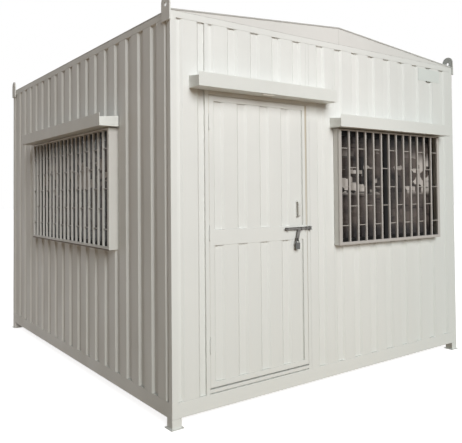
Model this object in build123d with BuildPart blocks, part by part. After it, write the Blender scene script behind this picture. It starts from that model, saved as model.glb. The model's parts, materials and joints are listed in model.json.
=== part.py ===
from build123d import *
import os
from collections import namedtuple
from math import atan2, tan

os.makedirs("parts", exist_ok=True)

# Shell of the cabin: X runs along the door front, Y into the depth, Z up, millimetres
cabin_width = 3050
cabin_length = 3660
leg_height = 64
base_beam_height = 100
wall_height = 2458
frame_tube = 45
tube_wall = 3
lining_thickness = 9
deck_thickness = 18
ceiling_thickness = 9
roof_rise = 128
roof_thickness = 9
roof_overhang = 4
gable_thickness = 3
joist_width = 40
joist_height = 78
joist_count = 6

# Legs, foot plates and lifting lugs at the corners
leg_tube = 70
foot_size = 94
foot_thickness = 6
lug_width = 112
lug_thickness = 10
lug_inset = 44
lug_drop = 65
lug_rise = 109
lug_hole_rise = 43
lug_hole = 28

# Folded rib pattern of the steel sheets
rib_pitch = 196
rib_width = 88
rib_flank = 18
rib_depth = 14
sheet_thickness = 1.6
corner_sheet_rib = 3
over_door_rib = 245
window_sheet_rib = 1273
side_sheet_rib = -7
rear_sheet_rib = 30

# Clearances between pieces that are fitted but don't touch
sheet_joint = 1
fit_gap = 0.3
board_gap = 0.5

# Door, hung on the left and opening outwards
door_start = 258
door_frame_face = 28
leaf_width = 867
leaf_height = 1939
sill_height = 30
sill_rebate_height = 8
sill_rebate_depth = 16
hinge_gap = 5
latch_gap = 7
head_gap = 5
threshold_gap = 10
stop_lip = 12
stop_gap = 5
leaf_tube = 36
leaf_frame_depth = 36
leaf_back_thickness = 2
lock_rail_height = 104
lock_rail_start = 937
leaf_panel_inset = 2
leaf_rib_depth = 12
leaf_rib_start = 64

# Hinges between jamb and leaf
hinge_radius = 6
hinge_pin_radius = 3
hinge_bore_gap = 0.2
hinge_length = 100
hinge_plate = 2
hinge_plate_reach = 30
hinge_heights = (230, 972, 1715)
hinge_seam = 0.5

# Slide bolt, its brackets and keeper, padlock and pull
rod_radius = 7
rod_length = 255
rod_standoff = 16
rod_rise = 1018
rod_overlap = 29
rod_bore_gap = 0.5
bolt_travel = 45
bracket_width = 12
bracket_plate = 3
bracket_margin = 10
bracket_half_height = 11
bracket_places = (20, 155, 205)
arm_width = 28
arm_thickness = 5
arm_start = 137
arm_shift = 26
arm_drop = 92
eye_thickness = 4
eye_height = 22
eye_hole_radius = 4.5
eye_below_hole = 10
lock_standoff = 24
shackle_radius = 3
shackle_bend = 13
shackle_seat_gap = 0.5
lock_width = 38
lock_height = 48
lock_depth = 16
keeper_width = 18
keeper_gap = 2
keeper_wall = 5
keeper_reach = 26
pull_from_latch = 96
pull_rise = 1109
pull_length = 108
pull_reach = 28
pull_width = 20
pull_thickness = 4
pull_bend = 14
pull_rose_radius = 12
pull_rose_thickness = 3

# Windows with grilles; each starts at a distance along its own wall
window_sill = 1074
window_height = 914
front_window_start = 1448
front_window_gaps = 13
left_window_start = 834
left_window_gaps = 19
window_frame_face = 42
window_frame_setback = 5
meeting_stile = 70
meeting_stile_setback = 12
glass_thickness = 5
glass_depth = 24
grille_reach = 60
grille_bar = 16
grille_gap = 79.85
grille_frame_face = 32
grille_top_face = 14
grille_bottom_face = 24
surround_thickness = 5

# Canopies of folded sheet over the door and the windows
canopy_sheet = 3
canopy_slope = 15
door_canopy_start = 137
door_canopy_width = 1235
door_canopy_depth = 125
door_canopy_fascia = 91
door_canopy_end = 83
front_canopy_start = 1412
front_canopy_width = 1418
front_canopy_depth = 125
left_canopy_start = 790
left_canopy_width = 2000
left_canopy_depth = 150
window_canopy_gap = 6
window_canopy_fascia = 96
window_canopy_end = 80

# Heights above the ground
beam_top = leg_height + base_beam_height
rail_bottom = beam_top + wall_height
rail_top = rail_bottom + frame_tube
sill_top = beam_top + sill_height
leaf_bottom = sill_top + threshold_gap
leaf_top = leaf_bottom + leaf_height
head_bottom = leaf_top + head_gap
door_frame_top = head_bottom + door_frame_face
window_top = window_sill + window_height

# Faces of the walls, with the origin under the middle of the whole object
foot_reach = (foot_size - leg_tube) / 2
left_reach = left_canopy_depth
right_reach = max(foot_reach, lug_thickness)
front_reach = door_canopy_depth
rear_reach = max(foot_reach, roof_overhang)
west = (left_reach - right_reach - cabin_width) / 2
east = west + cabin_width
south = (front_reach - rear_reach - cabin_length) / 2
north = south + cabin_length
middle_x = (west + east) / 2
middle_y = (south + north) / 2
wall_depth = frame_tube + lining_thickness

# Door places along the front wall
jamb_inner = door_start + door_frame_face
leaf_start = jamb_inner + hinge_gap
leaf_end = leaf_start + leaf_width
latch_jamb = leaf_end + latch_gap
door_end = latch_jamb + door_frame_face
leaf_depth = leaf_frame_depth + leaf_back_thickness
lock_rail_bottom = leaf_bottom + lock_rail_start
lock_rail_top = lock_rail_bottom + lock_rail_height

# Window places along their walls
grille_pitch = grille_bar + grille_gap
front_grille_width = front_window_gaps * grille_pitch - grille_bar + 2 * grille_frame_face
front_window_end = front_window_start + front_grille_width
left_grille_width = left_window_gaps * grille_pitch - grille_bar + 2 * grille_frame_face
left_window_end = left_window_start + left_grille_width

# A wall's own frame: u runs along it from its corner, v into the cabin
Wall = namedtuple("Wall", "x y along inward length")
front = Wall(west, south, (1, 0), (0, 1), cabin_width)
rear = Wall(west, north, (1, 0), (0, -1), cabin_width)
left = Wall(west, south, (0, 1), (1, 0), cabin_length)
right = Wall(east, south, (0, 1), (-1, 0), cabin_length)


def on_wall(wall, u, v):
    """Give the X and Y of a point that is u along a wall and v inside its face."""
    x = wall.x + wall.along[0] * u + wall.inward[0] * v
    y = wall.y + wall.along[1] * u + wall.inward[1] * v
    return x, y


def block(wall, u_range, v_range, z_range, mode=Mode.ADD):
    """Add or cut a box given by its ranges along, into and up a wall."""
    x0, y0 = on_wall(wall, u_range[0], v_range[0])
    x1, y1 = on_wall(wall, u_range[1], v_range[1])
    z0, z1 = z_range
    with Locations(((x0 + x1) / 2, (y0 + y1) / 2, (z0 + z1) / 2)):
        Box(abs(x1 - x0), abs(y1 - y0), z1 - z0, mode=mode)


def ring(wall, u_range, v_range, z_range, stile_face, bottom_face, top_face):
    """Add four bars round a rectangle: two full-height stiles and the rails fitted between them."""
    left_inner = u_range[0] + stile_face
    right_inner = u_range[1] - stile_face
    for stile in ((u_range[0], left_inner), (right_inner, u_range[1])):
        block(wall, stile, v_range, z_range)
    rail_span = (left_inner + fit_gap, right_inner - fit_gap)
    for rail in ((z_range[0], z_range[0] + bottom_face), (z_range[1] - top_face, z_range[1])):
        block(wall, rail_span, v_range, rail)


def plan_plane(wall, height):
    """Give the level plane with X along the wall and Y into it."""
    side = wall.along[0] * wall.inward[1] - wall.along[1] * wall.inward[0]
    return Plane(origin=(wall.x, wall.y, height), x_dir=(*wall.along, 0), z_dir=(0, 0, side))


def write_piece(piece, label):
    piece.part.label = label
    export_step(piece.part, f"parts/{label}.step")


def ribbed_sheet(wall, first_rib, start, end, bottom, top, depth=rib_depth, inset=0):
    """Make a folded sheet whose ribs go into the wall, the first from first_rib on."""
    bend = sheet_thickness * tan(atan2(depth, rib_flank) / 2)
    outer = [(first_rib - rib_pitch, 0)]
    inner = [(first_rib - rib_pitch, sheet_thickness)]
    rib = first_rib
    while rib < end + rib_pitch:
        floor_start = rib + rib_flank
        floor_end = rib + rib_width - rib_flank
        outer += [(rib, 0), (floor_start, depth), (floor_end, depth), (rib + rib_width, 0)]
        inner += [
            (rib - bend, sheet_thickness),
            (floor_start - bend, depth + sheet_thickness),
            (floor_end + bend, depth + sheet_thickness),
            (rib + rib_width + bend, sheet_thickness),
        ]
        rib += rib_pitch
    outer.append((rib, 0))
    inner.append((rib, sheet_thickness))
    with BuildPart() as sheet:
        with BuildSketch(plan_plane(wall, bottom)):
            with BuildLine():
                Polyline(*outer, *reversed(inner), close=True)
            make_face()
            with Locations(((start + end) / 2, 0)):
                Rectangle(end - start, 3 * depth, mode=Mode.INTERSECT)
        extrude(amount=top - bottom, dir=(0, 0, 1))
    return Pos(*[wall_part * inset for wall_part in wall.inward], 0) * sheet.part


# Legs: a short square tube under each corner post, on a foot plate
corner_centres = [
    (x, y)
    for x in (west + leg_tube / 2, east - leg_tube / 2)
    for y in (south + leg_tube / 2, north - leg_tube / 2)
]
with BuildPart() as support_legs:
    with BuildSketch():
        with Locations(*corner_centres):
            Rectangle(foot_size, foot_size)
    extrude(amount=foot_thickness)
    with BuildSketch(Plane.XY.offset(foot_thickness)):
        with Locations(*corner_centres):
            Rectangle(leg_tube, leg_tube)
            Rectangle(leg_tube - 2 * tube_wall, leg_tube - 2 * tube_wall, mode=Mode.SUBTRACT)
    extrude(amount=leg_height - foot_thickness)
write_piece(support_legs, "support_legs")

# Base beams between the corner posts
with BuildPart() as end_base_beams:
    for wall in (front, rear):
        span = (frame_tube, cabin_width - frame_tube)
        block(wall, span, (0, frame_tube), (leg_height, beam_top))
        hollow = (leg_height + tube_wall, beam_top - tube_wall)
        block(wall, span, (tube_wall, frame_tube - tube_wall), hollow, Mode.SUBTRACT)
write_piece(end_base_beams, "end_base_beams")

with BuildPart() as side_base_beams:
    for wall in (left, right):
        span = (frame_tube, cabin_length - frame_tube)
        block(wall, span, (0, frame_tube), (leg_height, beam_top))
        hollow = (leg_height + tube_wall, beam_top - tube_wall)
        block(wall, span, (tube_wall, frame_tube - tube_wall), hollow, Mode.SUBTRACT)
write_piece(side_base_beams, "side_base_beams")

# Floor: joists from side to side, and the deck on them flush with the beams
joist_top = beam_top - deck_thickness
joist_span = cabin_width - 2 * frame_tube
joist_spacing = (cabin_length - 2 * frame_tube - joist_width) / (joist_count - 1)
with BuildPart() as floor_joists:
    with Locations((middle_x, middle_y, joist_top - joist_height / 2)):
        with GridLocations(1, joist_spacing, 1, joist_count):
            Box(joist_span, joist_width, joist_height)
            inner_size = (joist_width - 2 * tube_wall, joist_height - 2 * tube_wall)
            Box(joist_span, *inner_size, mode=Mode.SUBTRACT)
write_piece(floor_joists, "floor_joists")

with BuildPart() as floor_deck:
    with BuildSketch(Plane.XY.offset(joist_top)):
        with Locations((middle_x, middle_y)):
            deck_width = cabin_width - 2 * (frame_tube + board_gap)
            deck_length = cabin_length - 2 * (frame_tube + board_gap)
            Rectangle(deck_width, deck_length)
    extrude(amount=deck_thickness)
write_piece(floor_deck, "floor_deck")

# Corner posts, from the legs up to the top of the rails
post_centres = [
    (x, y)
    for x in (west + frame_tube / 2, east - frame_tube / 2)
    for y in (south + frame_tube / 2, north - frame_tube / 2)
]
with BuildPart() as corner_posts:
    with BuildSketch(Plane.XY.offset(leg_height)):
        with Locations(*post_centres):
            Rectangle(frame_tube, frame_tube)
            Rectangle(frame_tube - 2 * tube_wall, frame_tube - 2 * tube_wall, mode=Mode.SUBTRACT)
    extrude(amount=rail_top - leg_height)
write_piece(corner_posts, "corner_posts")

# Top rails between the corner posts
with BuildPart() as end_top_rails:
    for wall in (front, rear):
        span = (frame_tube, cabin_width - frame_tube)
        block(wall, span, (0, frame_tube), (rail_bottom, rail_top))
        hollow = (rail_bottom + tube_wall, rail_top - tube_wall)
        block(wall, span, (tube_wall, frame_tube - tube_wall), hollow, Mode.SUBTRACT)
write_piece(end_top_rails, "end_top_rails")

with BuildPart() as side_top_rails:
    for wall in (left, right):
        span = (frame_tube, cabin_length - frame_tube)
        block(wall, span, (0, frame_tube), (rail_bottom, rail_top))
        hollow = (rail_bottom + tube_wall, rail_top - tube_wall)
        block(wall, span, (tube_wall, frame_tube - tube_wall), hollow, Mode.SUBTRACT)
write_piece(side_top_rails, "side_top_rails")

# Lifting lugs: round-topped plates on the outer side faces of the posts
lug_bottom = rail_top - lug_drop
lug_round_height = rail_top + lug_rise - lug_width / 2
lug_hole_height = rail_top + lug_hole_rise
with BuildPart() as lifting_lugs:
    for wall in (left, right):
        for centre in (lug_inset, cabin_length - lug_inset):
            face_x, face_y = on_wall(wall, centre, 0)
            outward = -wall.inward[0]
            face = Plane(origin=(face_x, face_y, 0), x_dir=(0, outward, 0), z_dir=(outward, 0, 0))
            with BuildSketch(face):
                with Locations((0, lug_round_height)):
                    Circle(lug_width / 2)
                with Locations((0, (lug_bottom + lug_round_height) / 2)):
                    Rectangle(lug_width, lug_round_height - lug_bottom)
                with Locations((0, lug_hole_height)):
                    Circle(lug_hole / 2, mode=Mode.SUBTRACT)
            extrude(amount=lug_thickness)
write_piece(lifting_lugs, "lifting_lugs")

# Gable plates on the end rails, two at each end with a joint under the ridge
ridge_height = rail_top + roof_rise
with BuildPart() as gable_plates:
    for wall in (front, rear):
        plate_y = wall.y + wall.inward[1] * gable_thickness
        start_y = max(wall.y, plate_y)
        with BuildSketch(Plane.XZ.offset(-start_y)):
            with BuildLine():
                Polyline((west, rail_top), (east, rail_top), (middle_x, ridge_height), close=True)
            make_face()
            with Locations((middle_x, ridge_height)):
                Rectangle(sheet_joint, 3 * roof_rise, mode=Mode.SUBTRACT)
        extrude(amount=gable_thickness)
write_piece(gable_plates, "gable_plates")

# Roof sheets, one on each side of the ridge
roof_length = cabin_length + 2 * roof_overhang


def roof_sheet(eave_x):
    """Make the sheet that slopes from the ridge down to one eave."""
    with BuildPart() as sheet:
        with BuildSketch(Plane.XZ.offset(-(north + roof_overhang))):
            with BuildLine():
                Polyline(
                    (eave_x, rail_top),
                    (middle_x, ridge_height),
                    (middle_x, ridge_height + roof_thickness),
                    (eave_x, rail_top + roof_thickness),
                    close=True,
                )
            make_face()
        extrude(amount=roof_length)
    return sheet


left_roof_sheet = roof_sheet(west)
write_piece(left_roof_sheet, "left_roof_sheet")
right_roof_sheet = roof_sheet(east)
write_piece(right_roof_sheet, "right_roof_sheet")

# Ceiling board between the top rails
with BuildPart() as ceiling_panel:
    with BuildSketch(Plane.XY.offset(rail_bottom)):
        with Locations((middle_x, middle_y)):
            ceiling_width = cabin_width - 2 * (frame_tube + board_gap)
            ceiling_length = cabin_length - 2 * (frame_tube + board_gap)
            Rectangle(ceiling_width, ceiling_length)
    extrude(amount=ceiling_thickness)
write_piece(ceiling_panel, "ceiling_panel")

# Window openings in the walls, with surround plates that line them from the grille to the room
window_opening = (window_sill - fit_gap, window_top + fit_gap)
front_opening = (front_window_start - fit_gap, front_window_end + fit_gap)
left_opening = (left_window_start - fit_gap, left_window_end + fit_gap)
surround_range = (grille_bar - grille_reach, wall_depth)
window_frame_inset = fit_gap + surround_thickness + fit_gap

# Ribbed sheets of the front: beside and over the door, then round the window
corner_sheet = ribbed_sheet(
    front, corner_sheet_rib, frame_tube, door_start - sheet_joint, beam_top, rail_bottom
)
over_door_sheet = ribbed_sheet(
    front,
    over_door_rib,
    jamb_inner + sheet_joint,
    latch_jamb - sheet_joint,
    door_frame_top + sheet_joint,
    rail_bottom,
)
window_wall_sheet = ribbed_sheet(
    front, window_sheet_rib, door_end + sheet_joint, cabin_width - frame_tube, beam_top, rail_bottom
)


def cut_window(wall, opening):
    """Cut a window through the sheets or boards, and the joints in line with its sides."""
    block(wall, opening, (-wall_depth, wall_depth), window_opening, Mode.SUBTRACT)
    for edge in (opening[0] - sheet_joint, opening[1]):
        joint = (edge, edge + sheet_joint)
        block(wall, joint, (-wall_depth, wall_depth), (beam_top, rail_bottom), Mode.SUBTRACT)


with BuildPart() as front_wall_sheets:
    add(window_wall_sheet)
    cut_window(front, front_opening)
    add(corner_sheet)
    add(over_door_sheet)
write_piece(front_wall_sheets, "front_wall_sheets")

# Ribbed sheets of the other walls
left_sheet = ribbed_sheet(
    left, side_sheet_rib, frame_tube, cabin_length - frame_tube, beam_top, rail_bottom
)
with BuildPart() as left_wall_sheets:
    add(left_sheet)
    cut_window(left, left_opening)
write_piece(left_wall_sheets, "left_wall_sheets")

right_sheet = ribbed_sheet(
    right, side_sheet_rib, frame_tube, cabin_length - frame_tube, beam_top, rail_bottom
)
with BuildPart() as right_wall_sheet:
    add(right_sheet)
write_piece(right_wall_sheet, "right_wall_sheet")

rear_sheet = ribbed_sheet(
    rear, rear_sheet_rib, frame_tube, cabin_width - frame_tube, beam_top, rail_bottom
)
with BuildPart() as rear_wall_sheet:
    add(rear_sheet)
write_piece(rear_wall_sheet, "rear_wall_sheet")

# Lining boards on the inner faces of the posts, beams to ceiling
lining_range = (frame_tube, wall_depth)
lining_heights = (beam_top, rail_bottom)
side_lining_span = (frame_tube + board_gap, cabin_length - frame_tube - board_gap)
end_lining_span = (wall_depth + board_gap, cabin_width - wall_depth - board_gap)
with BuildPart() as front_lining:
    block(front, end_lining_span, lining_range, lining_heights)
    cut_window(front, front_opening)
    door_hole_heights = (beam_top, door_frame_top + board_gap)
    block(front, (jamb_inner, latch_jamb), lining_range, door_hole_heights, Mode.SUBTRACT)
    for jamb in ((door_start, jamb_inner), (latch_jamb, door_end)):
        slot = (jamb[0] - board_gap, jamb[1] + board_gap)
        block(front, slot, lining_range, lining_heights, Mode.SUBTRACT)
write_piece(front_lining, "front_lining")

with BuildPart() as left_lining:
    block(left, side_lining_span, lining_range, lining_heights)
    cut_window(left, left_opening)
write_piece(left_lining, "left_lining")

with BuildPart() as right_lining:
    block(right, side_lining_span, lining_range, lining_heights)
write_piece(right_lining, "right_lining")

with BuildPart() as rear_lining:
    block(rear, end_lining_span, lining_range, lining_heights)
write_piece(rear_lining, "rear_lining")

# Door frame: jambs up to the top rail, with a stop lip behind the leaf as on the head, and a sill
stop_range = (leaf_depth + stop_gap, wall_depth)
frame_range = (0, wall_depth)
with BuildPart() as door_jambs:
    block(front, (door_start, jamb_inner), frame_range, (beam_top, rail_bottom))
    block(front, (jamb_inner, jamb_inner + stop_lip), stop_range, (sill_top, head_bottom))
    block(front, (latch_jamb, door_end), frame_range, (beam_top, rail_bottom))
    block(front, (latch_jamb - stop_lip, latch_jamb), stop_range, (sill_top, head_bottom))
write_piece(door_jambs, "door_jambs")

head_span = (jamb_inner, latch_jamb)
head_stop_span = (jamb_inner + stop_lip, latch_jamb - stop_lip)
with BuildPart() as door_head:
    block(front, head_span, frame_range, (head_bottom, door_frame_top))
    block(front, head_stop_span, stop_range, (head_bottom - stop_lip, head_bottom))
write_piece(door_head, "door_head")

with BuildPart() as door_sill:
    block(front, head_span, frame_range, (beam_top, sill_top))
    rebate_heights = (beam_top, beam_top + sill_rebate_height)
    block(front, head_span, (0, sill_rebate_depth), rebate_heights, Mode.SUBTRACT)
write_piece(door_sill, "door_sill")

# Door leaf: a frame of tube with a wide lock rail
leaf_inner = (leaf_start + leaf_tube, leaf_end - leaf_tube)
lower_bay = (leaf_bottom + leaf_tube, lock_rail_bottom)
upper_bay = (lock_rail_top, leaf_top - leaf_tube)
leaf_frame_range = (0, leaf_frame_depth)
with BuildPart() as door_leaf_frame:
    block(front, (leaf_start, leaf_end), leaf_frame_range, (leaf_bottom, leaf_top))
    block(front, leaf_inner, leaf_frame_range, lower_bay, Mode.SUBTRACT)
    block(front, leaf_inner, leaf_frame_range, upper_bay, Mode.SUBTRACT)
write_piece(door_leaf_frame, "door_leaf_frame")

# Ribbed panels in the two bays of the leaf, and the plain sheet behind them
panel_span = (leaf_inner[0] + fit_gap, leaf_inner[1] - fit_gap)
leaf_panels = [
    ribbed_sheet(
        front,
        door_start + leaf_rib_start,
        *panel_span,
        bay[0] + fit_gap,
        bay[1] - fit_gap,
        leaf_rib_depth,
        leaf_panel_inset,
    )
    for bay in (lower_bay, upper_bay)
]
with BuildPart() as door_panels:
    for panel in leaf_panels:
        add(panel)
write_piece(door_panels, "door_panels")

with BuildPart() as door_back_sheet:
    block(front, (leaf_start, leaf_end), (leaf_frame_depth, leaf_depth), (leaf_bottom, leaf_top))
write_piece(door_back_sheet, "door_back_sheet")

# Butt hinges with their pin just in front of the door's face
hinge_u = jamb_inner + hinge_gap / 2
hinge_x, hinge_y = on_wall(front, hinge_u, -hinge_radius)
hinge_starts = [leaf_bottom + height for height in hinge_heights]
half_hinge = (hinge_length - hinge_seam) / 2
plate_range = (-hinge_radius / 2, hinge_plate_reach)
with BuildPart() as jamb_hinges:
    for start in hinge_starts:
        block(front, (jamb_inner, jamb_inner + hinge_plate), plate_range, (start, start + half_hinge))
        with BuildSketch(Plane.XY.offset(start)):
            with Locations((hinge_x, hinge_y)):
                Circle(hinge_radius)
        extrude(amount=half_hinge)
        with BuildSketch(Plane.XY.offset(start + half_hinge)):
            with Locations((hinge_x, hinge_y)):
                Circle(hinge_pin_radius)
        extrude(amount=half_hinge)
write_piece(jamb_hinges, "jamb_hinges")

with BuildPart() as leaf_hinges:
    for start in hinge_starts:
        upper = start + half_hinge + hinge_seam
        plate_span = (leaf_start - hinge_plate, leaf_start)
        block(front, plate_span, plate_range, (upper, upper + half_hinge))
        with BuildSketch(Plane.XY.offset(upper)):
            with Locations((hinge_x, hinge_y)):
                Circle(hinge_radius)
        extrude(amount=half_hinge)
        with BuildSketch(Plane.XY.offset(upper)):
            with Locations((hinge_x, hinge_y)):
                Circle(hinge_pin_radius + hinge_bore_gap)
        extrude(amount=half_hinge, mode=Mode.SUBTRACT)
write_piece(leaf_hinges, "leaf_hinges")

# Slide bolt: a rod with a slanted arm that ends in an eye for the padlock
rod_end = leaf_end + rod_overlap
rod_start = rod_end - rod_length
rod_height = leaf_bottom + rod_rise
eye_u = rod_start + arm_start - arm_shift
eye_height_at_hole = rod_height - arm_drop + eye_below_hole
eye_range = (-lock_standoff - eye_hole_radius - eye_thickness, -rod_standoff)
with BuildPart() as slide_bolt:
    rod_plane = Plane(origin=(*on_wall(front, rod_start, -rod_standoff), rod_height), z_dir=(1, 0, 0))
    with BuildSketch(rod_plane):
        Circle(rod_radius)
    extrude(amount=rod_length)
    arm_top = west + rod_start + arm_start
    arm_foot = arm_top - arm_shift
    with BuildSketch(Plane.XZ.offset(-(south - rod_standoff + arm_thickness / 2))):
        with BuildLine():
            Polyline(
                (arm_top - arm_width / 2, rod_height),
                (arm_top + arm_width / 2, rod_height),
                (arm_foot + arm_width / 2, rod_height - arm_drop),
                (arm_foot - arm_width / 2, rod_height - arm_drop),
                close=True,
            )
        make_face()
    extrude(amount=arm_thickness)
    eye_span = (eye_u - eye_thickness / 2, eye_u + eye_thickness / 2)
    block(front, eye_span, eye_range, (rod_height - arm_drop, rod_height - arm_drop + eye_height))
    eye_centre = (*on_wall(front, eye_span[0], -lock_standoff), eye_height_at_hole)
    with BuildSketch(Plane(origin=eye_centre, z_dir=(1, 0, 0))):
        Circle(eye_hole_radius)
    extrude(amount=eye_thickness, mode=Mode.SUBTRACT)
write_piece(slide_bolt, "slide_bolt")

# Brackets that guide the rod on the lock rail
with BuildPart() as bolt_brackets:
    plate_start = rod_start + bracket_places[0] - bracket_margin
    plate_end = rod_start + bracket_places[-1] + bracket_width + bracket_margin
    bracket_heights = (rod_height - bracket_half_height, rod_height + bracket_half_height)
    block(front, (plate_start, plate_end), (-bracket_plate, 0), bracket_heights)
    bracket_reach = rod_standoff + rod_radius + bracket_plate
    for place in bracket_places:
        span = (rod_start + place, rod_start + place + bracket_width)
        block(front, span, (-bracket_reach, 0), bracket_heights)
    bore_start = (*on_wall(front, plate_start, -rod_standoff), rod_height)
    with BuildSketch(Plane(origin=bore_start, z_dir=(1, 0, 0))):
        Circle(rod_radius + rod_bore_gap)
    extrude(amount=plate_end - plate_start, mode=Mode.SUBTRACT)
write_piece(bolt_brackets, "bolt_brackets")

# Keeper on the latch jamb: a base with an ear above and below the rod
keeper_middle = latch_jamb + door_frame_face / 2
keeper_span = (keeper_middle - keeper_width / 2, keeper_middle + keeper_width / 2)
ear_inner = rod_radius + keeper_gap
ear_outer = ear_inner + keeper_wall
with BuildPart() as bolt_keeper:
    block(front, keeper_span, (-keeper_reach, 0), (rod_height - ear_outer, rod_height + ear_outer))
    slot = (rod_height - ear_inner, rod_height + ear_inner)
    block(front, keeper_span, (-keeper_reach, -bracket_plate), slot, Mode.SUBTRACT)
write_piece(bolt_keeper, "bolt_keeper")

# Padlock hanging in the eye of the bolt's arm
bar_height = eye_height_at_hole - eye_hole_radius + shackle_radius + shackle_seat_gap
bend_height = bar_height - shackle_bend
lock_x, lock_y = on_wall(front, eye_u, -lock_standoff)
lock_top = bend_height - shackle_bend / 2
with BuildPart() as padlock:
    with BuildSketch(Plane.XY.offset(lock_top - lock_height)):
        with Locations((lock_x, lock_y)):
            RectangleRounded(lock_width, lock_depth, lock_depth / 4)
    extrude(amount=lock_height)
    with BuildLine() as shackle_line:
        start = (lock_x - shackle_bend, lock_y, lock_top)
        rise = (lock_x - shackle_bend, lock_y, bend_height)
        crown = (lock_x, lock_y, bar_height)
        fall = (lock_x + shackle_bend, lock_y, bend_height)
        end = (lock_x + shackle_bend, lock_y, lock_top)
        Line(start, rise)
        ThreePointArc(rise, crown, fall)
        Line(fall, end)
    with BuildSketch(Plane(origin=start, z_dir=(0, 0, 1))):
        Circle(shackle_radius)
    sweep(path=shackle_line.wire())
write_piece(padlock, "padlock")

# Pull handle on the flat beside the lock stile
pull_u = leaf_end - pull_from_latch
pull_x, pull_y = on_wall(front, pull_u, leaf_panel_inset)
pull_bottom = leaf_bottom + pull_rise
pull_top = pull_bottom + pull_length
with BuildPart() as door_pull:
    with BuildLine() as pull_line:
        FilletPolyline(
            (pull_x, pull_y, pull_bottom),
            (pull_x, pull_y - pull_reach, pull_bottom),
            (pull_x, pull_y - pull_reach, pull_top),
            (pull_x, pull_y, pull_top),
            radius=pull_bend,
        )
    pull_plane = Plane(origin=(pull_x, pull_y, pull_bottom), x_dir=(1, 0, 0), z_dir=(0, -1, 0))
    with BuildSketch(pull_plane):
        Rectangle(pull_width, pull_thickness)
    sweep(path=pull_line.wire())
    for height in (pull_bottom, pull_top):
        with BuildSketch(Plane(origin=(pull_x, pull_y, height), z_dir=(0, -1, 0))):
            Circle(pull_rose_radius)
        extrude(amount=pull_rose_thickness)
write_piece(door_pull, "door_pull")


def window_frame(wall, opening):
    """Make the frame inside a window's surround, with the meeting stile in the middle."""
    outer = (opening[0] + window_frame_inset, opening[1] - window_frame_inset)
    heights = (window_opening[0] + window_frame_inset, window_opening[1] - window_frame_inset)
    stile_inset = window_frame_face + fit_gap
    stile_heights = (heights[0] + stile_inset, heights[1] - stile_inset)
    centre = (outer[0] + outer[1]) / 2
    stile = (centre - meeting_stile / 2, centre + meeting_stile / 2)
    faces = (window_frame_face, window_frame_face, window_frame_face)
    with BuildPart() as frame:
        ring(wall, outer, (window_frame_setback, wall_depth), heights, *faces)
        block(wall, stile, (meeting_stile_setback, frame_tube), stile_heights)
    return frame


def window_glass(wall, opening):
    """Make the two panes, one on each side of the meeting stile."""
    inset = window_frame_inset + window_frame_face + fit_gap
    centre = (opening[0] + opening[1]) / 2
    edge = meeting_stile / 2 + fit_gap
    heights = (window_opening[0] + inset, window_opening[1] - inset)
    with BuildPart() as glass:
        for pane in ((opening[0] + inset, centre - edge), (centre + edge, opening[1] - inset)):
            block(wall, pane, (glass_depth, glass_depth + glass_thickness), heights)
    return glass


def window_grille(wall, start, end, gaps):
    """Make the flat grille: a frame with upright bars fitted into it."""
    depth = (-grille_reach, -grille_reach + grille_bar)
    faces = (grille_frame_face, grille_bottom_face, grille_top_face)
    bar_bottom = window_sill + grille_bottom_face + fit_gap
    bar_heights = (bar_bottom, window_top - grille_top_face - fit_gap)
    with BuildPart() as grille:
        ring(wall, (start, end), depth, (window_sill, window_top), *faces)
        for index in range(1, gaps):
            bar = start + grille_frame_face + index * grille_pitch - grille_bar
            block(wall, (bar, bar + grille_bar), depth, bar_heights)
    return grille


def canopy(wall, start, width, depth, bottom, fascia, end_height):
    """Make a folded canopy, open at the wall, with end caps and a fascia."""
    t = canopy_sheet
    low = end_height - canopy_slope
    outline = (
        (0, 0),
        (-depth, 0),
        (-depth, fascia),
        (t - depth, fascia),
        (t - depth, low),
        (0, end_height),
    )
    hollow = ((t, t), (t - depth, t), (t - depth, low - t), (0, end_height - t), (t, end_height - t))
    with BuildPart() as piece:
        for points, inset, mode in ((outline, 0, Mode.ADD), (hollow, t, Mode.SUBTRACT)):
            x, y = on_wall(wall, start + inset, 0)
            across = (wall.inward[1], -wall.inward[0], 0)
            with BuildSketch(Plane(origin=(x, y, bottom), x_dir=(*wall.inward, 0), z_dir=across)):
                with BuildLine():
                    Polyline(*points, close=True)
                make_face()
            extrude(amount=width - 2 * inset, dir=(*wall.along, 0), mode=mode)
    return piece


# Front window
front_window_frame = window_frame(front, front_opening)
write_piece(front_window_frame, "front_window_frame")
front_window_glass = window_glass(front, front_opening)
write_piece(front_window_glass, "front_window_glass")
front_window_grille = window_grille(front, front_window_start, front_window_end, front_window_gaps)
write_piece(front_window_grille, "front_window_grille")

# Left window
left_window_frame = window_frame(left, left_opening)
write_piece(left_window_frame, "left_window_frame")
left_window_glass = window_glass(left, left_opening)
write_piece(left_window_glass, "left_window_glass")
left_window_grille = window_grille(left, left_window_start, left_window_end, left_window_gaps)
write_piece(left_window_grille, "left_window_grille")

# Surround plates that line each window's opening and hold its grille off the wall
surround_faces = (surround_thickness, surround_thickness, surround_thickness)
with BuildPart() as grille_surrounds:
    for wall, start, end in (
        (front, front_window_start, front_window_end),
        (left, left_window_start, left_window_end),
    ):
        ring(wall, (start, end), surround_range, (window_sill, window_top), *surround_faces)
write_piece(grille_surrounds, "grille_surrounds")

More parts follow.
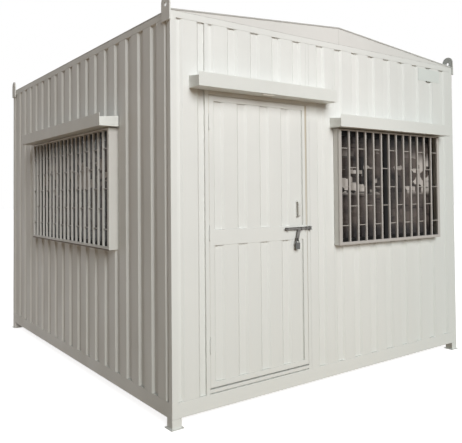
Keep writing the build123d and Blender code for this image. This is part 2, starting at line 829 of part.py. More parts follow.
# Canopies
door_canopy = canopy(
    front,
    door_canopy_start,
    door_canopy_width,
    door_canopy_depth,
    door_frame_top,
    door_canopy_fascia,
    door_canopy_end,
)
write_piece(door_canopy, "door_canopy")
window_canopy_bottom = window_top + window_canopy_gap
front_window_canopy = canopy(
    front,
    front_canopy_start,
    front_canopy_width,
    front_canopy_depth,
    window_canopy_bottom,
    window_canopy_fascia,
    window_canopy_end,
)
write_piece(front_window_canopy, "front_window_canopy")
left_window_canopy = canopy(
    left,
    left_canopy_start,
    left_canopy_width,
    left_canopy_depth,
    window_canopy_bottom,
    window_canopy_fascia,
    window_canopy_end,
)
write_piece(left_window_canopy, "left_window_canopy")
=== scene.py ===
import json
import math

import bmesh
import bpy
from mathutils import Matrix, Vector


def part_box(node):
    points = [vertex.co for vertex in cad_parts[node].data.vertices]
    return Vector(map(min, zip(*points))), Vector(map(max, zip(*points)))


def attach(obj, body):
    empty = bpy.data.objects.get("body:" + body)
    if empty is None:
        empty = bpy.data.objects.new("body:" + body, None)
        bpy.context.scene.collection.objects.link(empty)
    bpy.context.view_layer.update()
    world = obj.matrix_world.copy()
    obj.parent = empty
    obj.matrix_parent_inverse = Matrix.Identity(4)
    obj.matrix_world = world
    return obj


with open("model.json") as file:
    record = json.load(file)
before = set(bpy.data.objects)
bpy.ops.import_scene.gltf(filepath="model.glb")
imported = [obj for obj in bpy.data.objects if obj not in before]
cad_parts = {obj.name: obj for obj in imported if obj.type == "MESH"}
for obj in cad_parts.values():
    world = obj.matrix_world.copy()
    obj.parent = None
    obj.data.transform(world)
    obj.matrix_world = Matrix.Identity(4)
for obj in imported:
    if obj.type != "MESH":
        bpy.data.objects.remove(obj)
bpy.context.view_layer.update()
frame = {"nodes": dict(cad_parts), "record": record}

MM = 0.001

# Heights and faces of the shell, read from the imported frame
post_low, post_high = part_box("corner_posts")
WEST, SOUTH = post_low.x, post_low.y
EAST, NORTH = post_high.x, post_high.y
RAIL_TOP = post_high.z
RAIL_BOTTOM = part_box("end_top_rails")[0].z
BEAM_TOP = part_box("floor_deck")[1].z
BEAM_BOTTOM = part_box("end_base_beams")[0].z


def on_front(u, v, z):
    """A point u along the front from its left corner, v into the cabin and z up, in mm."""
    return Vector((WEST + u * MM, SOUTH + v * MM, z * MM))


def on_left(u, v, z):
    """The same on the left wall, with u from the front corner."""
    return Vector((WEST + v * MM, SOUTH + u * MM, z * MM))


def on_rear(u, v, z):
    """The same on the rear wall, with u from the left corner."""
    return Vector((WEST + u * MM, NORTH - v * MM, z * MM))


def on_right(u, v, z):
    """The same on the right wall, with u from the front corner."""
    return Vector((EAST - v * MM, SOUTH + u * MM, z * MM))


# Node-tree helpers
def new_material(name):
    """A material with its nodes, its links and its shader node."""
    material = bpy.data.materials.new(name)
    material.use_nodes = True
    nodes, links = material.node_tree.nodes, material.node_tree.links
    return material, nodes, links, nodes["Principled BSDF"]


def noise_node(nodes, links, coords, scale, detail, stretch=None, roughness=0.55):
    """Noise of 0 to 1. A stretch below 1 draws the pattern out along that axis."""
    if stretch:
        mapping = nodes.new("ShaderNodeMapping")
        mapping.inputs["Scale"].default_value = stretch
        links.new(coords, mapping.inputs["Vector"])
        coords = mapping.outputs["Vector"]
    tex = nodes.new("ShaderNodeTexNoise")
    tex.inputs["Scale"].default_value = scale
    tex.inputs["Detail"].default_value = detail
    tex.inputs["Roughness"].default_value = roughness
    links.new(coords, tex.inputs["Vector"])
    return tex.outputs["Fac"]


def ramp(nodes, links, value, low, high, start=0.0, end=1.0):
    """Map a value between low and high onto start to end, clamped."""
    node = nodes.new("ShaderNodeMapRange")
    node.inputs["From Min"].default_value = low
    node.inputs["From Max"].default_value = high
    node.inputs["To Min"].default_value = start
    node.inputs["To Max"].default_value = end
    links.new(value, node.inputs["Value"])
    return node.outputs["Result"]


def mix(nodes, links, factor, a, b):
    """Colour a where the factor is 0, b where it is 1."""
    node = nodes.new("ShaderNodeMix")
    node.data_type = "RGBA"
    for value, socket in ((factor, node.inputs[0]), (a, node.inputs[6]), (b, node.inputs[7])):
        if isinstance(value, bpy.types.NodeSocket):
            links.new(value, socket)
        else:
            socket.default_value = value
    return node.outputs[2]


def math_node(nodes, links, operation, a, b):
    """One operation on two values, each a socket or a number."""
    node = nodes.new("ShaderNodeMath")
    node.operation = operation
    for index, value in enumerate((a, b)):
        if isinstance(value, bpy.types.NodeSocket):
            links.new(value, node.inputs[index])
        else:
            node.inputs[index].default_value = value
    return node.outputs[0]


def bump(nodes, links, height, distance, strength, normal=None):
    """A normal that follows a height, on top of another normal if one is given."""
    node = nodes.new("ShaderNodeBump")
    node.inputs["Distance"].default_value = distance
    node.inputs["Strength"].default_value = strength
    links.new(height, node.inputs["Height"])
    if normal:
        links.new(normal, node.inputs["Normal"])
    return node.outputs["Normal"]


def rgb(red, green, blue):
    """An sRGB colour of 0 to 255 as the linear values that sockets hold."""
    out = []
    for channel in (red, green, blue):
        c = channel / 255
        out.append(c / 12.92 if c <= 0.04045 else ((c + 0.055) / 1.055) ** 2.4)
    return (*out, 1.0)


def seen_by_eye(nodes, links):
    """1 on rays that show a thing to the eye, straight, mirrored or through glass, else 0."""
    path = nodes.new("ShaderNodeLightPath")
    seen = math_node(nodes, links, "MAXIMUM", path.outputs["Is Camera Ray"], path.outputs["Is Glossy Ray"])
    return math_node(nodes, links, "MAXIMUM", seen, path.outputs["Is Transmission Ray"])


def shade(colour, factor):
    """A colour made darker or lighter by a factor."""
    return (*[min(1.0, c * factor) for c in colour[:3]], 1.0)


# The common dust, what it turns to towards the right, and the painted shade towards the rear
DUST = rgb(210, 212, 207)
SIDE_DUST = rgb(198, 203, 199)
REAR_SHADE = rgb(198, 196, 190)
# Dust on the darker paints, among them the painted shade of the ties and the painted shadow strip under the
# left grille
DARK_DUST = rgb(40, 39, 38)
TIE_SHADE_DUST = rgb(158, 153, 147)
SHADOW_STRIP_DUST = rgb(96, 88, 80)
BAR_DUST = rgb(180, 176, 171)
# Marks on the paints
STAIN = rgb(196, 186, 160)
SPLASHED_MUD = rgb(168, 163, 152)
RUST = rgb(120, 78, 48)
# Stretch of height, of X or of Y in which each kind of weathering and the painted shade towards the rear
# fade, in metres
SPLASH_Z = (0.05, 0.55)
DUST_Z = (0.0, 2.2)
SIDE_DUST_X = (0.2, 1.6)
REAR_SHADE_Y = (-1.5, 0.5)


def paint(
    name,
    colour,
    roughness=0.42,
    dirt=0.25,
    streaks=0.5,
    waviness=0.0015,
    rust=0.1,
    dust=DUST,
    shine=0.4,
):
    """Brushed-on enamel on steel: runs, dust low down, faint stains and small rust specks.

    Paint with the common dust also gets greyer towards the right, and greyer towards the rear as painted
    shade.
    """
    material, nodes, links, shader = new_material(name)
    coords = nodes.new("ShaderNodeTexCoord").outputs["Object"]
    cloud = noise_node(nodes, links, coords, 1.7, 4.0)
    run = noise_node(nodes, links, coords, 9.0, 4.0, (1.0, 1.0, 0.09))
    stain = noise_node(nodes, links, coords, 4.0, 6.0, (1.0, 1.0, 0.35), 0.65)
    grain = noise_node(nodes, links, coords, 900.0, 2.0)
    speck = noise_node(nodes, links, coords, 60.0, 2.0)

    patches = ramp(nodes, links, cloud, 0.35, 0.65)
    tone = mix(nodes, links, patches, shade(colour, 0.965), shade(colour, 1.02))
    runs = ramp(nodes, links, run, 0.56, 0.75, 0.0, 0.16 * streaks)
    tone = mix(nodes, links, runs, tone, shade(colour, 0.72))
    stains = ramp(nodes, links, stain, 0.60, 0.78, 0.0, 0.20 * dirt)
    tone = mix(nodes, links, stains, tone, STAIN)

    position = nodes.new("ShaderNodeSeparateXYZ")
    links.new(coords, position.inputs["Vector"])
    low = ramp(nodes, links, position.outputs["Z"], *SPLASH_Z, 1.0, 0.0)
    splash = math_node(nodes, links, "MULTIPLY", low, ramp(nodes, links, stain, 0.35, 0.75, 0.05, dirt))
    tone = mix(nodes, links, splash, tone, SPLASHED_MUD)
    settled = ramp(nodes, links, position.outputs["Z"], *DUST_Z, 1.0, 0.0)
    tone = mix(nodes, links, settled, tone, dust)
    if dust == DUST:
        weathered = ramp(nodes, links, position.outputs["X"], *SIDE_DUST_X, 0.0, 0.75)
        tone = mix(nodes, links, weathered, tone, SIDE_DUST)
        # Painted shade: greyer towards the rear, so that the left wall reads as shaded
        rear_shade = ramp(nodes, links, position.outputs["Y"], *REAR_SHADE_Y, 0.0, 0.8)
        tone = mix(nodes, links, rear_shade, tone, REAR_SHADE)

    specks = ramp(nodes, links, speck, 0.80, 0.83, 0.0, rust)
    tone = mix(nodes, links, specks, tone, RUST)
    links.new(tone, shader.inputs["Base Color"])

    dull = ramp(nodes, links, stain, 0.3, 0.7, 0.0, 0.2)
    rough = math_node(nodes, links, "ADD", roughness - 0.08, dull)
    links.new(rough, shader.inputs["Roughness"])
    wave = noise_node(nodes, links, coords, 2.6, 1.5)
    normal = bump(nodes, links, wave, waviness, 0.6)
    normal = bump(nodes, links, grain, 0.00006, 0.5, normal)
    links.new(normal, shader.inputs["Normal"])
    shader.inputs["Specular IOR Level"].default_value = shine
    return material


def metal(name, colour, roughness, scratch, spots):
    """Zinc or bare steel: drawn grain, cloudy tarnish, scratches and rusty spots."""
    material, nodes, links, shader = new_material(name)
    coords = nodes.new("ShaderNodeTexCoord").outputs["Object"]
    cloud = noise_node(nodes, links, coords, 35.0, 5.0)
    grain = noise_node(nodes, links, coords, 500.0, 3.0, (0.08, 1.0, 1.0))
    tone = mix(nodes, links, ramp(nodes, links, cloud, 0.3, 0.7), shade(colour, 0.7), shade(colour, 1.15))
    rusty = noise_node(nodes, links, coords, 120.0, 4.0)
    tone = mix(nodes, links, ramp(nodes, links, rusty, 0.58, 0.68, 0.0, 0.7), tone, spots)
    links.new(tone, shader.inputs["Base Color"])
    shader.inputs["Metallic"].default_value = 1.0
    rough = ramp(nodes, links, cloud, 0.3, 0.7, roughness - 0.1, roughness + 0.12)
    links.new(rough, shader.inputs["Roughness"])
    links.new(bump(nodes, links, grain, 0.0001, scratch), shader.inputs["Normal"])
    return material


def board(name, colour, dark, scale, roughness=0.55):
    """Faced or plain wood board: long faint figure with pores."""
    material, nodes, links, shader = new_material(name)
    coords = nodes.new("ShaderNodeTexCoord").outputs["Object"]
    figure = noise_node(nodes, links, coords, 7.0, 6.0, scale, 0.6)
    pores = noise_node(nodes, links, coords, 160.0, 3.0, scale)
    tone = mix(nodes, links, ramp(nodes, links, figure, 0.35, 0.65), dark, colour)
    tone = mix(nodes, links, ramp(nodes, links, pores, 0.60, 0.70, 0.0, 0.35), tone, shade(dark, 0.7))
    links.new(tone, shader.inputs["Base Color"])
    links.new(ramp(nodes, links, figure, 0.3, 0.7, roughness, roughness + 0.15), shader.inputs["Roughness"])
    links.new(bump(nodes, links, pores, 0.0003, 0.4), shader.inputs["Normal"])
    return material


# Stretch of height in which each band on the panes fades in or out, in metres
GLASS_FOOT_Z = (1.16, 1.24)
REFLECTIONS_FROM_Z = (1.46, 1.50)
REFLECTIONS_TO_Z = (1.74, 1.84)
CANOPY_SHADOW_Z = (1.86, 1.93)


def pane_glass(name):
    """Dark tinted glass: brown and grey patches and pale angular blotches at eye height that are painted
    reflections, dark lines, a painted canopy shadow at the top, a dark band at the foot, and dried drops.
    """
    material, nodes, links, shader = new_material(name)
    coords = nodes.new("ShaderNodeTexCoord").outputs["Object"]
    cloud = noise_node(nodes, links, coords, 3.4, 6.0, (1.0, 1.0, 0.8), 0.62)
    stretch = nodes.new("ShaderNodeMapping")
    stretch.inputs["Scale"].default_value = (8.0, 8.0, 13.0)
    links.new(coords, stretch.inputs["Vector"])
    blocks = nodes.new("ShaderNodeTexVoronoi")
    blocks.distance = "CHEBYCHEV"
    blocks.inputs["Scale"].default_value = 1.0
    blocks.inputs["Randomness"].default_value = 0.9
    links.new(stretch.outputs["Vector"], blocks.inputs["Vector"])
    cell = nodes.new("ShaderNodeSeparateColor")
    links.new(blocks.outputs["Color"], cell.inputs["Color"])
    drops = noise_node(nodes, links, coords, 45.0, 3.0, (1.0, 1.0, 0.6))
    # Painted reflections: brown and grey patches
    tone = mix(nodes, links, ramp(nodes, links, cloud, 0.38, 0.60), rgb(34, 33, 34), rgb(94, 85, 80))
    height = nodes.new("ShaderNodeSeparateXYZ")
    links.new(coords, height.inputs["Vector"])
    level = height.outputs["Z"]
    above = ramp(nodes, links, level, *REFLECTIONS_FROM_Z)
    below = ramp(nodes, links, level, *REFLECTIONS_TO_Z, 1.0, 0.0)
    reflection_band = math_node(nodes, links, "MULTIPLY", above, below)
    # Painted reflections: brown cells, and pale blotches at eye height
    reflected_brown = ramp(nodes, links, cell.outputs["Green"], 0.55, 0.65, 0.0, 0.5)
    tone = mix(nodes, links, reflected_brown, tone, rgb(58, 50, 47))
    reflection_blotch = ramp(nodes, links, cell.outputs["Red"], 0.58, 0.64, 0.0, 0.9)
    pale = math_node(nodes, links, "MULTIPLY", reflection_band, reflection_blotch)
    tone = mix(nodes, links, pale, tone, rgb(190, 184, 178))
    line = noise_node(nodes, links, coords, 26.0, 2.0, (0.12, 0.12, 1.0))
    tone = mix(nodes, links, ramp(nodes, links, line, 0.60, 0.66, 0.0, 0.75), tone, rgb(30, 28, 29))
    shadow = ramp(nodes, links, level, *CANOPY_SHADOW_Z, 0.0, 0.8)
    tone = mix(nodes, links, shadow, tone, rgb(24, 23, 24))
    foot = ramp(nodes, links, level, *GLASS_FOOT_Z, 0.8, 0.0)
    tone = mix(nodes, links, foot, tone, rgb(26, 24, 26))
    dried = ramp(nodes, links, drops, 0.62, 0.74, 0.0, 0.25)
    tone = mix(nodes, links, dried, tone, rgb(120, 112, 104))
    links.new(tone, shader.inputs["Base Color"])
    links.new(ramp(nodes, links, drops, 0.4, 0.75, 0.08, 0.30), shader.inputs["Roughness"])
    wave = noise_node(nodes, links, coords, 1.8, 1.0)
    links.new(bump(nodes, links, wave, 0.004, 0.5), shader.inputs["Normal"])
    shader.inputs["IOR"].default_value = 1.35
    shader.inputs["Specular IOR Level"].default_value = 0.25
    return material


WHITE = rgb(233, 234, 231)
# Scales that draw the figure of a board out along one axis
ALONG_Y, ALONG_Z = (1.0, 0.1, 1.0), (1.0, 1.0, 0.12)
# One material per slot of the record
materials = {
    "frame_paint": paint("FramePaint", WHITE, dirt=0.3, streaks=0.35, waviness=0.0006, rust=0.3),
    "gable_paint": paint("GablePaint", rgb(227, 226, 223), dirt=0.3, waviness=0.002),
    "sheet_paint": paint("SheetPaint", rgb(234, 235, 232), waviness=0.004),
    # Grey roof paint with real dirt and rust, partly painted shade that darkens the roof sheet's edge
    "roof_paint": paint("RoofPaint", rgb(188, 187, 183), roughness=0.5, dirt=0.7, waviness=0.006, rust=0.3),
    "door_paint": paint("DoorPaint", WHITE, streaks=0.4, waviness=0.002),
    "canopy_paint": paint("CanopyPaint", rgb(229, 231, 227), streaks=0.3, waviness=0.001),
    "grille_paint": paint(
        "GrillePaint", rgb(206, 203, 198), dirt=0.5, streaks=0.3, waviness=0.0005, rust=0.35
    ),
    "chassis_paint": paint(
        "ChassisPaint", rgb(120, 118, 112), roughness=0.6, dirt=0.8, streaks=0.4, waviness=0.0006, rust=0.6
    ),
    "lining_board": board("LiningBoard", rgb(214, 206, 190), rgb(196, 186, 168), ALONG_Z),
    "floor_board": board("FloorBoard", rgb(150, 118, 84), rgb(112, 84, 58), ALONG_Y, roughness=0.65),
    "window_black": paint(
        "WindowBlack",
        rgb(24, 24, 25),
        roughness=0.35,
        dirt=0.3,
        streaks=0.1,
        waviness=0.0005,
        rust=0.0,
        dust=DARK_DUST,
        shine=0.12,
    ),
    "dark_glass": pane_glass("DarkGlass"),
    "bolt_zinc": metal("BoltZinc", rgb(122, 120, 117), 0.46, scratch=0.3, spots=rgb(70, 56, 46)),
    "lock_steel": metal("LockSteel", rgb(104, 104, 103), 0.42, scratch=0.3, spots=rgb(84, 72, 62)),
    "pull_paint": paint(
        "PullPaint", rgb(214, 214, 210), roughness=0.4, dirt=0.5, streaks=0.3, waviness=0.0004, rust=0.3
    ),
}
# Looks of the scene's own pieces, and of the front grille, which is darker than the left one
# Darker paint of the grille ties: painted shade, with real rust specks
tie_shade_paint = paint(
    "TieShadePaint",
    rgb(156, 151, 145),
    roughness=0.5,
    dirt=0.5,
    streaks=0.3,
    waviness=0.0004,
    rust=0.6,
    dust=TIE_SHADE_DUST,
)
seal_pale = paint(
    "SealPale", rgb(222, 219, 210), roughness=0.6, dirt=0.4, streaks=0.3, waviness=0.0004, rust=0.0
)
# Tan for the latch side of the door: painted shade of the reveal
seal_tan_shade = paint(
    "SealTanShade", rgb(196, 186, 168), roughness=0.6, dirt=0.5, streaks=0.4, waviness=0.0004, rust=0.0
)
# Dark brown for the strip of painted shadow under the left grille
shadow_strip_paint = paint(
    "ShadowStripPaint",
    rgb(104, 95, 86),
    roughness=0.7,
    dirt=0.3,
    streaks=0.4,
    waviness=0.0004,
    rust=0.6,
    dust=SHADOW_STRIP_DUST,
)
bar_paint = paint(
    "BarPaint",
    rgb(176, 172, 167),
    roughness=0.45,
    dirt=0.4,
    streaks=0.3,
    waviness=0.0005,
    rust=0.35,
    dust=BAR_DUST,
)
# Darker grey for the strips on the rib ledges
ledge_grey = paint(
    "LedgeGrey", rgb(166, 163, 154), roughness=0.8, dirt=0.8, streaks=0.2, waviness=0.0006, rust=0.3
)
plate_green = paint(
    "PlateGreen", rgb(221, 229, 226), roughness=0.45, dirt=0.2, streaks=0.4, waviness=0.001, rust=0.0
)
lamp_white = paint(
    "LampWhite", rgb(238, 236, 228), roughness=0.3, dirt=0.1, streaks=0.0, waviness=0.0002, rust=0.0
)


# Soft edges on CAD nodes, made by modifiers so that the nodes themselves stay as they are
WELD_DISTANCE = 0.00002
EDGE_ANGLE = math.radians(20)
EDGE_SEGMENTS = 2


def smooth_group():
    """A node group that joins a mesh's split corners and shades it smooth."""
    group = bpy.data.node_groups.new("WeldAndSmooth", "GeometryNodeTree")
    group.interface.new_socket("Geometry", in_out="INPUT", socket_type="NodeSocketGeometry")
    group.interface.new_socket("Geometry", in_out="OUTPUT", socket_type="NodeSocketGeometry")
    start = group.nodes.new("NodeGroupInput")
    merge = group.nodes.new("GeometryNodeMergeByDistance")
    merge.inputs["Distance"].default_value = WELD_DISTANCE
    smooth = group.nodes.new("GeometryNodeSetShadeSmooth")
    end = group.nodes.new("NodeGroupOutput")
    group.links.new(start.outputs[0], merge.inputs["Geometry"])
    group.links.new(merge.outputs["Geometry"], smooth.inputs["Geometry"])
    group.links.new(smooth.outputs["Geometry"], end.inputs[0])
    return group


SMOOTH = smooth_group()


def soften(obj, width, weld=True):
    """Round the sharp edges. A CAD node is welded first, because its mesh has split corners."""
    if weld:
        modifier = obj.modifiers.new("weld", "NODES")
        modifier.node_group = SMOOTH
    bevel = obj.modifiers.new("edges", "BEVEL")
    bevel.width = width
    bevel.segments = EDGE_SEGMENTS
    bevel.limit_method = "ANGLE"
    bevel.angle_limit = EDGE_ANGLE
    bevel.miter_outer = "MITER_ARC"
    normals = obj.modifiers.new("normals", "WEIGHTED_NORMAL")
    normals.keep_sharp = False


# Width of the soft edges in mm. Nodes that aren't named keep the edges of their solids
edge_widths = {
    "support_legs": 2.0,
    "end_base_beams": 3.0,
    "side_base_beams": 3.0,
    "corner_posts": 3.0,
    "end_top_rails": 3.0,
    "side_top_rails": 3.0,
    "lifting_lugs": 1.2,
    "gable_plates": 0.6,
    "door_jambs": 1.2,
    "door_head": 1.2,
    "door_sill": 1.2,
    "door_leaf_frame": 2.0,
    "front_wall_sheets": 1.5,
    "left_wall_sheets": 1.5,
    "right_wall_sheet": 1.5,
    "rear_wall_sheet": 1.5,
    "door_panels": 1.2,
    "front_window_frame": 2.0,
    "left_window_frame": 2.0,
    "front_window_grille": 1.5,
    "left_window_grille": 1.5,
    "grille_surrounds": 1.0,
    "door_canopy": 1.2,
    "front_window_canopy": 1.2,
    "left_window_canopy": 1.2,
}
slots = {entry["node"]: entry["material_slot"] for entry in frame["record"]["subparts"]}
for name, obj in frame["nodes"].items():
    obj.data.materials.clear()
    obj.data.materials.append(bar_paint if name == "front_window_grille" else materials[slots[name]])
    if name in edge_widths:
        soften(obj, edge_widths[name] * MM)


# Mesh helpers for the scene's own pieces
def piece(name, bm, material, edge, body="cabin"):
    """An object from a mesh, with edges rounded by so many mm, that rides with a body."""
    mesh = bpy.data.meshes.new(name)
    bmesh.ops.recalc_face_normals(bm, faces=bm.faces)
    bm.to_mesh(mesh)
    bm.free()
    obj = bpy.data.objects.new(name, mesh)
    bpy.context.scene.collection.objects.link(obj)
    mesh.materials.append(material)
    for polygon in mesh.polygons:
        polygon.use_smooth = True
    soften(obj, edge * MM, weld=False)
    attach(obj, body)


def add_box(bm, low, high):
    """A box between any two opposite corners."""
    low, high = Vector(map(min, low, high)), Vector(map(max, low, high))
    size, centre = high - low, (low + high) / 2
    bmesh.ops.create_cube(bm, size=1.0, matrix=Matrix.Translation(centre) @ Matrix.Diagonal((*size, 1.0)))


# Short ties between the grille bars, in a brick pattern, with measures in mm
GRILLE_ROWS = 6
GRILLE_PITCH = 95.85
GRILLE_BAR = 16
GRILLE_FACE = 32
GRILLE_FRONT = -60
TIE_HALF = 3.5
TIE_OVERLAP = 1
TIE_FRONT, TIE_BACK = GRILLE_FRONT + 4, GRILLE_FRONT + 12
WINDOW_SILL, WINDOW_TOP = 1074, 1988
FRONT_GRILLE_START, FRONT_GRILLE_GAPS = 1448, 13
LEFT_GRILLE_START, LEFT_GRILLE_GAPS = 834, 19


def grille_ties(name, place, start, gaps):
    """Ties across every gap between the bars, in every second row, shifted from gap to gap."""
    bm = bmesh.new()
    for gap in range(gaps):
        low = start + GRILLE_FACE + gap * GRILLE_PITCH
        high = low + GRILLE_PITCH - GRILLE_BAR
        for row in range(1 + gap % 2, GRILLE_ROWS, 2):
            z = WINDOW_SILL + (WINDOW_TOP - WINDOW_SILL) * row / GRILLE_ROWS
            add_box(
                bm,
                place(low - TIE_OVERLAP, TIE_FRONT, z - TIE_HALF),
                place(high + TIE_OVERLAP, TIE_BACK, z + TIE_HALF),
            )
    # The ties get the darker paint, which is painted shade
    piece(name, bm, tie_shade_paint, edge=1.0)


grille_ties("front_grille_ties", on_front, FRONT_GRILLE_START, FRONT_GRILLE_GAPS)
grille_ties("left_grille_ties", on_left, LEFT_GRILLE_START, LEFT_GRILLE_GAPS)

# Bare plate under the top rail
PLATE_START, PLATE_END = 2536, 2848
PLATE_BOTTOM, PLATE_TOP = 2497, 2607
PLATE_FRONT, PLATE_BACK = -2, 0.5
bm = bmesh.new()
add_box(
    bm,
    on_front(PLATE_START, PLATE_FRONT, PLATE_BOTTOM),
    on_front(PLATE_END, PLATE_BACK, PLATE_TOP),
)
piece("blank_plate", bm, plate_green, edge=0.8)

# Ground welds that close the joints of beams and rails with the posts, almost flush
TUBE = 45
WELD_HALF, WELD_RISE, WELD_ROOT, WELD_MARGIN = 4, 0.4, 1, 2
WIDTH, LENGTH = round((EAST - WEST) / MM), round((NORTH - SOUTH) / MM)
BEAM_LOW, BEAM_HIGH = BEAM_BOTTOM / MM, BEAM_TOP / MM
RAIL_LOW, RAIL_HIGH = RAIL_BOTTOM / MM, RAIL_TOP / MM
bm = bmesh.new()
for place, length in ((on_front, WIDTH), (on_rear, WIDTH), (on_left, LENGTH), (on_right, LENGTH)):
    for joint in (TUBE, length - TUBE):
        for low, high in ((BEAM_LOW, BEAM_HIGH), (RAIL_LOW, RAIL_HIGH)):
            add_box(
                bm,
                place(joint - WELD_HALF, -WELD_RISE, low + WELD_MARGIN),
                place(joint + WELD_HALF, WELD_ROOT, high - WELD_MARGIN),
            )
piece("ground_welds", bm, materials["frame_paint"], edge=0.3)

# Seals in the gap round the door leaf: pale on the hinge side and top, tan on the latch side, where the tan
# is painted shade
leaf_low, leaf_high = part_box("door_leaf_frame")
LEAF_START, LEAF_END = (leaf_low.x - WEST) / MM, (leaf_high.x - WEST) / MM
LEAF_BOTTOM, LEAF_TOP = leaf_low.z / MM, leaf_high.z / MM
SEAL_FRONT, SEAL_BACK = 1.5, 12
HINGE_SEAL, TOP_SEAL, LATCH_SEAL = 4.0, 3.4, 5.8
# The hinges, up from the foot of the leaf, and the space left free at their ends
HINGE_SPANS = [(230, 330), (972, 1072), (1715, 1815)]
HINGE_KEEP = 4
# Thin tan band of painted shade on the face of the leaf, from above the bolt nearly to its top
SHADE_BAND_START, SHADE_BAND_END = 12, 1
SHADE_BAND_FRONT, SHADE_BAND_BACK = -1.2, 0.3
SHADE_BAND_OVER_BOLT, SHADE_BAND_UNDER_TOP = 14, 3
bm = bmesh.new()
low = LEAF_BOTTOM
for start, end in HINGE_SPANS + [(LEAF_TOP - LEAF_BOTTOM + HINGE_KEEP, 0)]:
    high = LEAF_BOTTOM + start - HINGE_KEEP
    add_box(bm, on_front(LEAF_START - HINGE_SEAL, SEAL_FRONT, low), on_front(LEAF_START, SEAL_BACK, high))
    low = LEAF_BOTTOM + end + HINGE_KEEP
add_box(bm, on_front(LEAF_START, SEAL_FRONT, LEAF_TOP), on_front(LEAF_END, SEAL_BACK, LEAF_TOP + TOP_SEAL))
piece("door_seal_pale", bm, seal_pale, body="door", edge=0.5)
bm = bmesh.new()
add_box(
    bm,
    on_front(LEAF_END, SEAL_FRONT, LEAF_BOTTOM),
    on_front(LEAF_END + LATCH_SEAL, SEAL_BACK, LEAF_TOP),
)
bolt_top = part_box("bolt_brackets")[1].z / MM
add_box(
    bm,
    on_front(LEAF_END - SHADE_BAND_START, SHADE_BAND_FRONT, bolt_top + SHADE_BAND_OVER_BOLT),
    on_front(LEAF_END - SHADE_BAND_END, SHADE_BAND_BACK, LEAF_TOP - SHADE_BAND_UNDER_TOP),
)
piece("door_seal_latch_shade", bm, seal_tan_shade, body="door", edge=0.5)

# Dark strip of painted shadow along the foot of the left window's grille. Offsets in metres from the grille
SHADOW_STRIP_PROUD, SHADOW_STRIP_DEPTH = 0.0012, 0.012
SHADOW_STRIP_SHORT = 0.002
SHADOW_STRIP_DROP, SHADOW_STRIP_RISE = 0.004, 0.007
left_low, left_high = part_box("left_window_grille")
bm = bmesh.new()
add_box(
    bm,
    Vector((left_low.x - SHADOW_STRIP_PROUD, left_low.y + SHADOW_STRIP_SHORT, left_low.z - SHADOW_STRIP_DROP)),
    Vector((left_low.x + SHADOW_STRIP_DEPTH, left_high.y - SHADOW_STRIP_SHORT, left_low.z + SHADOW_STRIP_RISE)),
)
piece("shadow_strip", bm, shadow_strip_paint, edge=1.0)

# Darker grey strips on the ledges at the foot of the ribs
RIB_PITCH, RIB_WIDTH, RIB_FLANK, RIB_DEPTH = 196, 88, 18, 14
DOOR_FRAME_START, DOOR_FRAME_END = 256, 1194
LEDGE_FRONT, LEDGE_BACK, LEDGE_RISE = 1.5, RIB_DEPTH - 0.5, 1.2
# Where the first rib of each run starts
CORNER_RIB, WINDOW_WALL_RIB, SIDE_RIB, REAR_RIB = 3, 1273, -7, 30
# For each run of ledges: its wall, its first rib, and where it starts and ends
ledge_runs = (
    (on_front, CORNER_RIB, TUBE, DOOR_FRAME_START),
    (on_front, WINDOW_WALL_RIB, DOOR_FRAME_END, WIDTH - TUBE),
    (on_left, SIDE_RIB, TUBE, LENGTH - TUBE),
    (on_right, SIDE_RIB, TUBE, LENGTH - TUBE),
    (on_rear, REAR_RIB, TUBE, WIDTH - TUBE),
)
bm = bmesh.new()
for place, rib, start, end in ledge_runs:
    while rib < end:
        low, high = max(start, rib + RIB_FLANK), min(end, rib + RIB_WIDTH - RIB_FLANK)
        if high > low:
            add_box(
                bm, place(low, LEDGE_FRONT, BEAM_HIGH), place(high, LEDGE_BACK, BEAM_HIGH + LEDGE_RISE)
            )
        rib += RIB_PITCH
piece("ledge_strips", bm, ledge_grey, edge=0.5)

# Lamp under the door canopy
LAMP_START, LAMP_END = 664, 760
LAMP_FRONT, LAMP_BACK = -116, -94
LAMP_BOTTOM, LAMP_TOP = 2166, 2176.5
bm = bmesh.new()
add_box(bm, on_front(LAMP_START, LAMP_FRONT, LAMP_BOTTOM), on_front(LAMP_END, LAMP_BACK, LAMP_TOP))
piece("canopy_lamp", bm, lamp_white, edge=3)

# Stage: a floor that shows nearly white with the object's shadow on it, and throws light back on the
# object like bare earth
GROUND = rgb(160, 131, 95)
FLOOR_WHITE = (0.62, 0.62, 0.62, 1.0)
FLOOR_GLOW = 0.86
FLOOR_RADIUS = 60.0
FLOOR_SEGMENTS = 96


def stage_material():
    """Earth to the light, and a glowing pale floor to the eye."""
    material, nodes, links, shader = new_material("Floor")
    seen = seen_by_eye(nodes, links)
    shader.inputs["Base Color"].default_value = GROUND
    shader.inputs["Roughness"].default_value = 0.9
    shader.inputs["Specular IOR Level"].default_value = 0.0
    pale = nodes.new("ShaderNodeBsdfDiffuse")
    pale.inputs["Color"].default_value = FLOOR_WHITE
    glow = nodes.new("ShaderNodeEmission")
    glow.inputs["Strength"].default_value = FLOOR_GLOW
    both = nodes.new("ShaderNodeAddShader")
    links.new(pale.outputs[0], both.inputs[0])
    links.new(glow.outputs[0], both.inputs[1])
    blend = nodes.new("ShaderNodeMixShader")
    links.new(seen, blend.inputs[0])
    links.new(shader.outputs[0], blend.inputs[1])
    links.new(both.outputs[0], blend.inputs[2])
    links.new(blend.outputs[0], nodes["Material Output"].inputs["Surface"])
    return material


bm = bmesh.new()
bmesh.ops.create_circle(bm, cap_ends=True, radius=FLOOR_RADIUS, segments=FLOOR_SEGMENTS)
floor_mesh = bpy.data.meshes.new("floor")
bm.to_mesh(floor_mesh)
bm.free()
floor = bpy.data.objects.new("floor", floor_mesh)
floor.location.z = -MM
bpy.context.scene.collection.objects.link(floor)
floor_mesh.materials.append(stage_material())

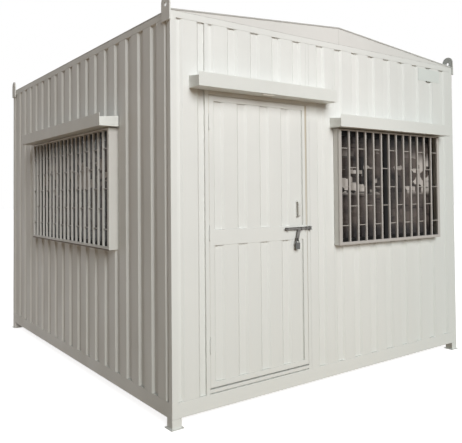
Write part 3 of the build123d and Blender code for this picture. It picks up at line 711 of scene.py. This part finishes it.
# World: white to the eye, and a weak, slightly warm light on the object
SKY_LIGHT = (1.0, 0.95, 0.87, 1.0)
SKY_STRENGTH = 0.055
world = bpy.data.worlds.new("World")
bpy.context.scene.world = world
world.use_nodes = True
nodes, links = world.node_tree.nodes, world.node_tree.links
background = nodes["Background"]
background.inputs["Color"].default_value = SKY_LIGHT
background.inputs["Strength"].default_value = SKY_STRENGTH
white = nodes.new("ShaderNodeBackground")
white.inputs["Color"].default_value = (1.0, 1.0, 1.0, 1.0)
white.inputs["Strength"].default_value = 1.0
seen = seen_by_eye(nodes, links)
blend = nodes.new("ShaderNodeMixShader")
links.new(seen, blend.inputs[0])
links.new(background.outputs[0], blend.inputs[1])
links.new(white.outputs[0], blend.inputs[2])
links.new(blend.outputs[0], nodes["World Output"].inputs["Surface"])


def add_sun(name, energy, spread, direction, colour=(1.0, 1.0, 1.0)):
    """A sun light from a direction, with its spread in degrees."""
    data = bpy.data.lights.new(name, "SUN")
    data.energy = energy
    data.angle = math.radians(spread)
    data.color = colour
    sun = bpy.data.objects.new(name, data)
    sun.rotation_euler = Vector(direction).to_track_quat("Z", "Y").to_euler()
    bpy.context.scene.collection.objects.link(sun)


# Soft key light on the door front
add_sun("key", energy=2.95, spread=36, direction=(-0.17, -1.0, 0.50), colour=(0.99, 1.0, 1.0))
# Low fill light on the rear and right sides, which the photograph doesn't show
add_sun("fill", energy=1.25, spread=60, direction=(0.55, 1.0, 0.16))

# Camera at the photograph's viewing angle, with its place in mm and the photograph in pixels
IMAGE = (462, 443)
SENSOR = 36.0
CAMERA_PLACE = (-1793.3, -3234.6, 1486.3)
FOCAL_PX, CENTRE_PX = 577.4, (254.1, 178.7)
YAW, TILT, ROLL = math.radians(37.211), math.radians(1.45), math.radians(-0.55)
forward = Vector((math.sin(YAW) * math.cos(TILT), math.cos(YAW) * math.cos(TILT), math.sin(TILT)))
level = Vector((math.cos(YAW), -math.sin(YAW), 0.0))
above = level.cross(forward)
right = level * math.cos(ROLL) + above * math.sin(ROLL)
up = above * math.cos(ROLL) - level * math.sin(ROLL)
camera_data = bpy.data.cameras.new("camera")
camera_data.sensor_width = SENSOR
camera_data.lens = FOCAL_PX * SENSOR / IMAGE[0]
camera_data.shift_x = (IMAGE[0] / 2 - CENTRE_PX[0]) / IMAGE[0]
camera_data.shift_y = (CENTRE_PX[1] - IMAGE[1] / 2) / IMAGE[0]
camera = bpy.data.objects.new("camera", camera_data)
turn = Matrix((right, up, -forward)).transposed().to_4x4()
camera.matrix_world = Matrix.Translation(on_front(*CAMERA_PLACE)) @ turn
bpy.context.scene.collection.objects.link(camera)
bpy.context.scene.camera = camera

bpy.context.scene.view_settings.view_transform = "Standard"

# Bring the scene up to date
bpy.context.view_layer.update()
